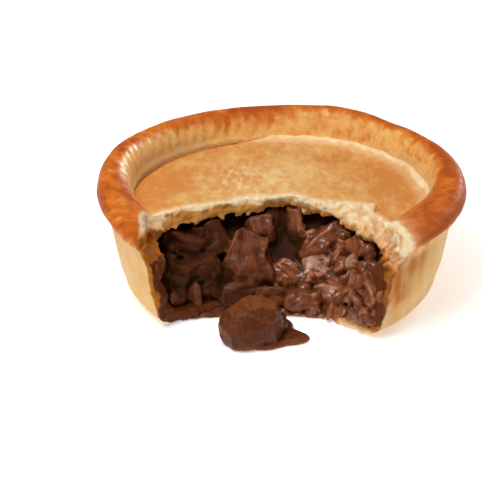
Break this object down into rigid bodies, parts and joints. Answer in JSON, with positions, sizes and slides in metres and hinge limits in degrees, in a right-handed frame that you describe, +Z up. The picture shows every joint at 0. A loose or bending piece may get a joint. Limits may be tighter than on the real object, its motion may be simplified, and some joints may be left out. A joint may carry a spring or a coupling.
{
  "type": "steak pie",
  "caption": "Single-serve steak pie with a crimped pastry rim and sunken lid, torn open at the front to show chunks of steak in gravy, some of it spilled out.",
  "frame": {"origin": "on the pie's axis, at the underside of the base", "axes": "+Z up along the pie's axis, -Y towards the torn opening, +X to the right as seen from the opening"},
  "size_m": [0.1204, 0.1098, 0.0402],
  "materials": {
    "case_pastry": "baked shortcrust, browned and slightly glossy on the rim, pale and floury on the wall and where torn",
    "lid_pastry": "baked egg-washed crust, golden and mottled, cream and crumbly where torn",
    "steak_in_gravy": "wet and glossy, dark brown gravy over fibrous meat"
  },
  "bodies": {
    "root": {"pastry_case": "case_pastry", "pastry_lid": "lid_pastry", "filling": "steak_in_gravy", "spilled_steak": "steak_in_gravy"}
  },
  "joints": []
}
